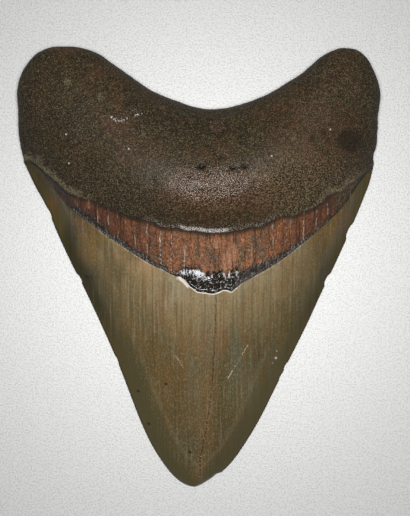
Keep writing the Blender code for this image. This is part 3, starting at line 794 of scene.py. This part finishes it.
def band_material(colours):
    """Iron-stained dentine: fluted and cracked upright, with a glassy dark strip at the enamel's edge."""
    material, tree, shader = new_material("iron_stained_bourlette")
    # The dentine's tubules are far too fine to show: its specks and fibres are drawn at 0.36 and 0.5 mm.
    patch = grain(tree, 1.7 * MM, 3.0, Detail=4.0, Roughness=0.65)
    zone = grain(tree, 4.0 * MM, 3.0, seed=6.0, Detail=2.0)
    speck = grain(tree, 0.36 * MM, 1.6, Detail=2.0, Roughness=0.6)
    fibre = grain(tree, 0.5 * MM, 6.0, seed=7.0, Detail=3.0, Roughness=0.6)
    gaps = grain(tree, 1.6 * MM, 2.5, seed=5.0, Detail=2.0)
    narrow = cracks(tree, 2.1 * MM, 2.2 * MM, 7.7)
    wide = cracks(tree, 4.1 * MM, 2.4 * MM, 2.3)
    vein = cracks(tree, 2.9 * MM, 1.4 * MM, 3.1)
    strip, under_root, over_enamel = (
        add(tree, "Attribute", {}, "Fac", attribute_name=name)
        for name in ("charcoal", "root_gap", "enamel_gap")
    )
    fingers = grain(tree, 0.8 * MM, 4.5, seed=2.0, Detail=3.0, Roughness=0.6)
    ragged = add(tree, "Math", {0: fingers, 1: 4.5, 2: strip}, operation="MULTIPLY_ADD")
    frayed = add(tree, "Math", {0: speck, 1: 5.0, 2: under_root}, operation="MULTIPLY_ADD")
    across = add(tree, "SeparateXYZ", {0: add(tree, "TexCoord", {}, "Object")})
    sides = away_from(tree, 6, 12, 36, 60)
    crackle = grain(tree, 0.8 * MM, seed=8.0, Detail=3.0, Roughness=0.6)
    left_end, left_tip = (across, -0.0320, -0.0350), (across, -0.0370, -0.0395)
    right_end, right_tip = (across, 0.0330, 0.0400), [(across, 0.0350, 0.0380), (over_enamel, 0.4, 0.7)]
    glass = (ragged, 2.3, 2.9)
    around_chip = away_from(tree, 2.2, -1.5, 8.6, 6)
    chip, beside_chip = (around_chip, 1.02, 0.92), (around_chip, 0.92, 1.02)
    # Marbling, fibres and specks, cracks and veins, the band's two ends, then the glassy strip and chip,
    # with painted glints on the chip and on vein rims beside it.
    stains = [
        (colours.band_amber, 0.6, (patch, 0.52, 0.40)),
        (colours.band_brown, 0.85, (patch, 0.48, 0.60)),
        (colours.band_tan, 0.70, near(5.5, 3, 9, 7, 1.2, 0.3), (zone, 0.58, 0.44)),
        (colours.band_olive, 0.65, (zone, 0.54, 0.64)),
        (colours.band_red, 0.85, (sides, 0.30, 0.75)),
        (colours.band_amber, 0.55, (sides, 0.45, 0.70), (patch, 0.46, 0.38)),
        (colours.band_dark, 0.40, (fibre, 0.50, 0.64)),
        (colours.band_pale, 0.44, (speck, 0.53, 0.66), (sides, 0.9, 0.3)),
        (colours.band_crack, 0.6, (narrow, 0.08, 0.02), (gaps, 0.48, 0.58)),
        (colours.band_crack, 0.85, (wide, 0.045, 0.015), (gaps, 0.62, 0.5)),
        (colours.band_vein, 0.85, (vein, 0.06, 0.02), (gaps, 0.52, 0.44), (sides, 0.15, 0.35)),
        (colours.band_dark, 0.65, (speck, 0.49, 0.34)),
        # Ragged dark root grains frayed into the band's top, partly painted shade under the root's lip.
        (colours.root_dark_and_shade, 0.8, (frayed, 1.5, 2.3)),
        (colours.charcoal_brown, 0.9, left_end, (patch, 0.62, 0.46)),
        (colours.band_olive, 0.5, left_end, (speck, 0.50, 0.62)),
        (colours.charcoal, 0.8, left_end, (fingers, 0.50, 0.60)),
        (colours.charcoal_brown, 0.8, right_end, (patch, 0.46, 0.56)),
        (colours.enamel_dark_and_shadow, 0.85, left_tip),
        (colours.charcoal_fleck_and_glint, 0.30, left_tip, (speck, 0.50, 0.62)),
        (colours.root_pit_and_shade, 0.8, left_end, (across, -0.0470, -0.0445), (under_root, -0.7, -0.3)),
        (colours.root_brown, 0.8, *right_tip),
        (colours.root_grain, 0.5, *right_tip, (speck, 0.48, 0.60)),
        (colours.root_pit_and_shade, 0.9, (across, 0.020, 0.028), (over_enamel, 0.6, 0.3)),
        (colours.charcoal, 0.95, glass),
        (colours.charcoal_brown, 0.7, glass, beside_chip, (fibre, 0.48, 0.58)),
        (colours.charcoal_fleck_and_glint, 0.62, glass, beside_chip, (fibre, 0.46, 0.38), (speck, 0.38, 0.50)),
        (colours.charcoal_fleck_and_glint, 0.55, glass, beside_chip, (speck, 0.56, 0.68)),
        # Painted glints: grey specks of reflected light in the chip's floor.
        (colours.charcoal_fleck_and_glint, 0.30, glass, chip, (crackle, 0.52, 0.66)),
        # Painted highlights: bright glints on the chip's glassy facets.
        (colours.glass_glint, 1.0, glass, near(0, -1.4, 1.9, 1.2, 1.1, 0.5), (crackle, 0.42, 0.50)),
        (colours.glass_glint, 0.9, glass, near(-3.4, -0.9, 1.9, 0.9, 1.1, 0.5), (fibre, 0.47, 0.53)),
        (colours.glass_glint, 0.75, glass, near(8.2, -1.4, 2.4, 1.2, 1.1, 0.6), (fibre, 0.47, 0.55)),
        (colours.glass_glint, 0.62, glass, chip, (crackle, 0.52, 0.60), (speck, 0.52, 0.58)),
        # Painted glints on the rims of the veins left of the chip.
        (colours.glass_glint, 0.6, (vein, 0.08, 0.03), (speck, 0.52, 0.60), near(-8.5, 2, 6, 8, 1.1, 0.6)),
        (colours.enamel_moss, 0.9, (across, -0.0440, -0.0460)),
        (colours.enamel_moss, 0.8, (across, 0.0450, 0.0465)),
    ]
    in_chip = cover(tree, 1.0, glass, chip)
    in_glass = cover(tree, 1.0, glass)
    polish = add(tree, "MapRange", {0: in_glass, 3: 0.58, 4: 0.34})
    furrow = cover(tree, 0.4, (narrow, 0.0, 0.16))
    dull = add(tree, "Math", {0: speck, 1: 0.5, 2: furrow}, operation="MULTIPLY_ADD")
    bristled = add(tree, "Mix", {"Factor": in_glass, 2: dull, 3: fibre})
    cracked = add(tree, "Math", {0: crackle, 1: 0.28}, operation="MULTIPLY")
    height = add(tree, "Mix", {"Factor": in_chip, 2: bristled, 3: cracked})
    feed(tree, shader, {
        "Base Color": stained(tree, colours.band_orange, stains),
        "Roughness": add(tree, "Math", {0: in_chip, 1: -0.18, 2: polish}, operation="MULTIPLY_ADD"),
        "IOR": 1.5,
        "Specular IOR Level": 0.4,
        "Normal": add(tree, "Bump", {"Height": height, "Distance": 0.42 * MM, "Strength": 1.0}),
    })
    return material


def enamel_material(sizes, colours):
    """Fossil enamel: hard and polished by wear, streaked along its growth from the root to the tip."""
    material, tree, shader = new_material("polished_fossil_enamel")
    # The finest growth lines wouldn't show, so a streak is as wide as several of them.
    width = sizes.streak_width
    fine = streaks(tree, width, 14 * MM, Detail=4.0, Roughness=0.7)
    smudge = grain(tree, 1.6 * MM, 2.5, seed=12.0, Detail=4.0, Roughness=0.7)
    broad = streaks(tree, 4 * width, 60 * MM, 4.0, Detail=2.0)
    cloud = grain(tree, 7 * MM, 2.5, Detail=3.0)
    speck = grain(tree, 0.32 * MM, 2.0, Detail=2.0)
    side, up = (add(tree, "SeparateXYZ", {0: add(tree, "TexCoord", {}, "Object")}, axis) for axis in (0, 1))
    margin, edge, lingual, crack_side, facet = (
        add(tree, "Attribute", {}, "Fac", attribute_name=name)
        for name in ("margin", "enamel_gap", "lingual", "crack", "facet")
    )
    jog = streaks(tree, 40 * MM, 2.0 * MM, 9.0, Detail=3.0)
    crack_path = add(tree, "Math", {0: jog, 1: 0.7, 2: crack_side}, operation="MULTIPLY_ADD")
    crack = add(tree, "Math", {0: crack_path, 1: 0.35}, operation="SUBTRACT")
    crack = add(tree, "Math", {0: crack}, operation="ABSOLUTE")
    dots = streaks(tree, 40 * MM, 0.45 * MM, 2.0, Detail=2.0)
    hairline = cracks(tree, 2.6 * MM, 0.5 * MM, 5.5)
    long_scratch, short_scratch, left_slope = (
        away_from_line(tree, *ends) for ends in (LONG_SCRATCH, SHORT_SCRATCH, LEFT_SLOPE)
    )
    front = (lingual, 0.4, 0.6)
    crack_line, upper, lower = (crack, 0.24, 0.06), (up, -0.036, -0.030), (up, -0.030, -0.036)
    beside_strip = [(up, 0.012, 0.002), (up, -0.022, -0.008)]
    chipped = (grain(tree, 1.1 * MM, seed=6.0, Detail=2.0), 0.30, 0.40)
    # Broad colouring with a painted sheen over the upper crown, coloured patches, the margins beside the
    # band, fine streaks, then the long crack, the scratches and the broken edge, with painted highlights on
    # its rim and along the band, and painted shadow along the outline. Places up and to the side are in
    # metres, the others in mm.
    stains = [
        # Lighter enamel near the band, partly a painted sheen where the upper crown catches the light.
        (colours.enamel_light_and_sheen, 0.95, near(0, 5, 39, 30, 1.15, 0.30)),
        (colours.enamel_olive, 0.9, (margin, 14.0, 2.0)),
        (colours.enamel_olive, 0.6, (up, -0.030, -0.055)),
        (colours.enamel_olive, 0.2, (facet, -1.5, 2.0), front),
        (colours.enamel_olive, 0.40, (left_slope, 6.5, 1.0), front),
        (colours.enamel_honey, 0.68, (edge, -6.0, -0.6), near(-17, 1.5, 10, 7, 1.2, 0.3), front),
        (colours.enamel_pale, 0.26, (edge, -5.5, -0.8), near(0, 0, 31, 14, 1.1, 0.5), front),
        (colours.enamel_pale, 0.40, near(-6.5, -6, 7, 5, 1.2, 0.2), front),
        (colours.enamel_warm, 0.4, (cloud, 0.45, 0.65), (margin, 3.0, 9.0)),
        (colours.enamel_olive, 0.5, (cloud, 0.5, 0.35)),
        (colours.enamel_rust, 0.60, near(5.6, -18.5, 2.8, 7, 1.2, 0.2), (smudge, 0.60, 0.40), front),
        (colours.enamel_rust, 0.35, near(1.6, -19.5, 1.8, 7, 1.2, 0.2), front),
        (colours.enamel_rust, 0.3, (crack, 2.4, 0.4), (up, -0.016, -0.034), (broad, 0.30, 0.50), front),
        (colours.enamel_dark_and_shadow, 0.3, near(5.2, -46, 2.6, 9), front),
        (colours.enamel_moss, 0.25, near(12.5, -22, 7, 9), front),
        (colours.enamel_dark_and_shadow, 0.2, (up, -0.034, -0.050)),
        (colours.enamel_grey, 0.12, (up, -0.016, -0.036), front),
        (colours.enamel_rust, 0.35, near(-10, -9, 2.4, 8, 1.2, 0.2), front),
        (colours.enamel_rust, 0.12, near(-6, -32, 8, 17), (broad, 0.42, 0.56), front),
        (colours.enamel_grey, 0.25, near(2, -18, 2.2, 12, 1.2, 0.2), (broad, 0.6, 0.42), front),
        (colours.enamel_grey, 0.35, near(-1.6, -29, 2, 10, 1.2, 0.2), front),
        (colours.enamel_grey, 0.60, near(13, -23, 9, 16, 1.2, 0.2), (broad, 0.62, 0.42), front),
        (colours.enamel_rust, 0.7, near(-29, 9.6, 4, 2.4), (cloud, 0.35, 0.55), front),
        (colours.enamel_rust, 0.5, near(-39, 18, 2.6, 4.2, 1.1, 0.2), (smudge, 0.60, 0.44), front),
        (colours.enamel_rust, 0.35, near(39, 13.6, 2.8, 4.4, 1.1, 0.2), front),
        (colours.enamel_moss, 0.85, (margin, 7.0, 1.8), (side, -0.020, -0.026), *beside_strip),
        (colours.enamel_moss, 0.40, (margin, 6.0, 1.5), (side, 0.020, 0.026), *beside_strip),
        (colours.enamel_dark_and_shadow, 0.4, near(-43.5, 23.5, 4.5, 7, 1.2, 0.3), front),
        (colours.enamel_moss, 0.7, near(-34.8, 8.4, 3, 6.5), front),
        (colours.enamel_moss, 0.45, near(-29.2, -2.6, 3.2, 4.5), front),
        (colours.enamel_moss, 0.3, near(33.5, 3.5, 3, 6.5), front),
        (colours.enamel_ochre, 0.7, near(-27.5, 8.6, 6, 2.6), (smudge, 0.40, 0.55), front),
        (colours.enamel_ochre, 0.35, near(-29.5, 5, 4, 4.5, 1.2, 0.3), front),
        (colours.enamel_ochre, 0.15, near(36, 12, 4, 9), (smudge, 0.40, 0.55), front),
        (
            colours.enamel_dark_and_shadow, 0.7,
            (edge, -2.4, -0.3), (side, -0.0300, -0.0340), (smudge, 0.40, 0.54), front,
        ),
        (colours.enamel_rust, 0.6, near(-31, 12.2, 3.6, 1.8), (smudge, 0.58, 0.44), front),
        (colours.enamel_rust, 0.5, near(23, 1.8, 6, 2.2), (smudge, 0.56, 0.44), front),
        (colours.enamel_light_and_sheen, 0.45, near(-4, -9, 30, 11, 1.2, 0.4), (fine, 0.48, 0.36), front),
        (colours.enamel_line, 0.7, near(-29.9, -2.2, 1.7, 1.5), (smudge, 0.40, 0.52), front),
        (colours.enamel_dark_and_shadow, 0.6, near(33.2, -1.6, 1, 3.2), front),
        (colours.enamel_rust, 0.15, (smudge, 0.50, 0.66), (margin, 3.0, 9.0)),
        (colours.enamel_grey, 0.22, (smudge, 0.50, 0.34), (margin, 3.0, 9.0)),
        (colours.enamel_dark_and_shadow, 0.32, (fine, 0.52, 0.66)),
        (colours.enamel_pale, 0.24, (fine, 0.46, 0.32), (margin, 2.0, 10.0)),
        (colours.enamel_line, 0.5, (hairline, 0.09, 0.03), (up, -0.026, -0.012), (speck, 0.6, 0.4)),
        (colours.enamel_dark_and_shadow, 0.22, (speck, 0.5, 0.66)),
        (colours.enamel_pale, 0.18, (speck, 0.48, 0.34), (margin, 2.0, 10.0)),
        (colours.enamel_pale, 0.06, (facet, -1.6, -0.2), (facet, 0.8, 0.0), (up, -0.016, -0.026), front),
        (colours.enamel_line, 0.70, crack_line, (dots, 0.40, 0.50), upper),
        (colours.enamel_line, 0.75, crack_line, (dots, 0.42, 0.50), lower),
        (colours.enamel_glint, 0.4, (crack, 0.22, 0.08), (dots, 0.44, 0.36), lower),
        (
            colours.enamel_glint, 0.55,
            (long_scratch, 0.24, 0.10), (speck, 0.56, 0.46), (jog, 0.62, 0.52), front,
        ),
        (colours.enamel_glint, 0.3, (short_scratch, 0.22, 0.08), (speck, 0.6, 0.45), front),
        # The chip's pale broken rim, painted with its bright highlight: thick at the left, thinner to the
        # right.
        (
            colours.enamel_chip_and_highlight, 1.0,
            (edge, -0.95, -0.65), near(-4, -3.4, 2.2, 2.2, 1.1, 0.7), chipped, front,
        ),
        (colours.enamel_chip_and_highlight, 0.9, (edge, -0.38, -0.18), near(1.8, -5.5, 7, 4, 1.1, 0.9), front),
        (
            colours.enamel_chip_and_highlight, 0.6,
            (edge, -0.34, -0.16), near(9.4, -5.4, 2.4, 2, 1.1, 0.6), (speck, 0.56, 0.46), front,
        ),
        # Painted shadow: a thin dark line along the outline, under the cutting edges.
        (colours.enamel_dark_and_shadow, 0.6, (margin, 0.7, 0.2)),
        # Painted highlight: a thin light line along the enamel's edge, where its lip catches the light.
        (
            colours.enamel_glint, 0.35,
            (edge, -0.4, -0.15), (speck, 0.55, 0.45), near(0, 0, 33, 60, 1.0, 0.8), front,
        ),
    ]
    for x, y, size, strength in ENAMEL_LIGHT_DOTS:
        stains.append((colours.enamel_glint, strength, near(x, y, size, size, 1.0, 0.5), front))
    for x, y in ENAMEL_DARK_SPECKS:
        stains.append((colours.enamel_line, 0.8, near(x, y, 0.6, 0.5, 1.0, 0.5), front))
    feed(tree, shader, {
        "Base Color": stained(tree, colours.enamel_mid, stains),
        "Roughness": add(tree, "MapRange", {0: fine, 1: 0.3, 2: 0.7, 3: 0.28, 4: 0.36}),
        "IOR": 1.5,
        "Specular IOR Level": 0.35,
        "Normal": add(tree, "Bump", {"Height": fine, "Distance": 0.03 * MM, "Strength": 0.7}),
    })
    return material


def floor_material(colours):
    """Pearly card: pale and even, with a soft sheen and the sparkle of fine mica in its coating."""
    material, tree, shader = new_material("pearl_coated_card")
    mica = grain(tree, 0.4 * MM, Detail=2.0)  # real flakes are finer than 0.1 mm and wouldn't show
    feed(tree, shader, {
        "Base Color": stained(tree, colours.floor, [(colours.floor_fibre, 0.5, (mica, 0.45, 0.65))]),
        "Metallic": 0.17,
        "Roughness": 0.42,
        "Normal": add(tree, "Bump", {"Height": mica, "Distance": 0.05 * MM, "Strength": 0.5}),
    })
    return material


def add_object(name, bm, materials):
    mesh = bpy.data.meshes.new(name)
    bm.to_mesh(mesh)
    bm.free()
    for material in materials:
        mesh.materials.append(material)
    made = bpy.data.objects.new(name, mesh)
    bpy.context.scene.collection.objects.link(made)
    return made


class FOSSIL_OT_add_tooth(bpy.types.Operator):
    """Model the tooth: its two faces, its worn edges and its relief"""

    bl_idname = "fossil.add_tooth"
    bl_label = "Add Tooth"

    def execute(self, context):
        sizes, colours = context.scene.tooth_sizes, context.scene.tooth_colours
        edges = outline()
        bm = bmesh.new()
        bm.verts.layers.int.new("row")
        for name in MEASURES:
            bm.verts.layers.float.new(name)
        for lingual in (True, False):
            add_sheet(bm, edges, lingual, sizes)
        bmesh.ops.remove_doubles(bm, verts=bm.verts, dist=WELD)
        bmesh.ops.recalc_face_normals(bm, faces=bm.faces)
        serrate(bm, sizes)
        enamel, band = enamel_material(sizes, colours), band_material(colours)
        tooth = add_object("fossil_tooth", bm, [enamel, band, root_material(sizes, colours)])
        mesh = tooth.data
        count = len(mesh.vertices)
        points, normals = np.zeros(count * 3), np.zeros(count * 3)
        mesh.vertices.foreach_get("co", points)
        mesh.vertices.foreach_get("normal", normals)
        points, normals = points.reshape(-1, 3), normals.reshape(-1, 3)
        measure = {}
        for name in MEASURES:
            measure[name] = np.zeros(count)
            mesh.attributes[name].data.foreach_get("value", measure[name])
        raised = relief(points, measure, sizes)
        points = nick_edges(points + normals * raised[:, None])
        points[:, 2] = np.maximum(points[:, 2], 0.0)
        mesh.vertices.foreach_set("co", points.ravel())
        mesh.shade_smooth()
        mesh.update()
        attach(tooth, "root")
        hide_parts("tooth")
        return {"FINISHED"}


class FOSSIL_OT_add_stage(bpy.types.Operator):
    """Add the pale floor, the soft light and the camera over the tooth"""

    bl_idname = "fossil.add_stage"
    bl_label = "Add Stage"

    def execute(self, context):
        colours = context.scene.tooth_colours
        bm = bmesh.new()
        bmesh.ops.create_grid(bm, x_segments=1, y_segments=1, size=FLOOR_HALF)
        bmesh.ops.translate(bm, verts=bm.verts, vec=(0.0, 0.0, -FLOOR_GAP))
        add_object("floor", bm, [floor_material(colours)])

        key = bpy.data.lights.new("softbox", "AREA")
        key.shape, key.size, key.energy = "DISK", SOFTBOX_SIZE, SOFTBOX_WATTS
        key_object = bpy.data.objects.new("softbox", key)
        key_object.location = SOFTBOX_PLACE
        context.scene.collection.objects.link(key_object)

        world = bpy.data.worlds.new("studio")
        world.use_nodes = True
        sky = world.node_tree
        up = add(sky, "SeparateXYZ", {0: add(sky, "TexCoord", {}, "Generated")}, 2)
        lights = {0: up, 1: OVERHEAD_FROM, 2: 0.0, 3: OVERHEAD_LIGHT, 4: HORIZON_LIGHT}
        walls = add(sky, "MapRange", lights, interpolation_type="SMOOTHSTEP")
        feed(sky, sky.nodes["Background"], {"Color": (1.0, 1.0, 1.0, 1.0), "Strength": walls})
        context.scene.world = world
        context.scene.view_settings.view_transform = "Standard"

        camera = bpy.data.cameras.new("camera")
        camera.sensor_fit, camera.sensor_height, camera.lens = "VERTICAL", SENSOR_HEIGHT, CAMERA_LENS
        camera_object = bpy.data.objects.new("camera", camera)
        camera_object.location = CAMERA_PLACE
        context.scene.collection.objects.link(camera_object)
        context.scene.camera = camera_object
        return {"FINISHED"}


class FOSSIL_PT_tooth(bpy.types.Panel):
    bl_label = "Fossil Tooth"
    bl_space_type = "VIEW_3D"
    bl_region_type = "UI"
    bl_category = "Fossil"

    def draw(self, context):
        for group in (context.scene.tooth_sizes, context.scene.tooth_colours):
            for name in group.__annotations__:
                self.layout.prop(group, name)
        for operator in OPERATORS:
            self.layout.operator(operator.bl_idname)


OPERATORS = (FOSSIL_OT_add_tooth, FOSSIL_OT_add_stage)
CLASSES = (ToothSizes, ToothColours, *OPERATORS, FOSSIL_PT_tooth)


def register():
    for cls in CLASSES:
        bpy.utils.register_class(cls)
    bpy.types.Scene.tooth_sizes = bpy.props.PointerProperty(type=ToothSizes)
    bpy.types.Scene.tooth_colours = bpy.props.PointerProperty(type=ToothColours)


def unregister():
    del bpy.types.Scene.tooth_sizes, bpy.types.Scene.tooth_colours
    for cls in reversed(CLASSES):
        bpy.utils.unregister_class(cls)


def main():
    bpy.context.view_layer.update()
    register()
    bpy.ops.fossil.add_tooth()
    bpy.ops.fossil.add_stage()


if __name__ == "__main__":
    main()
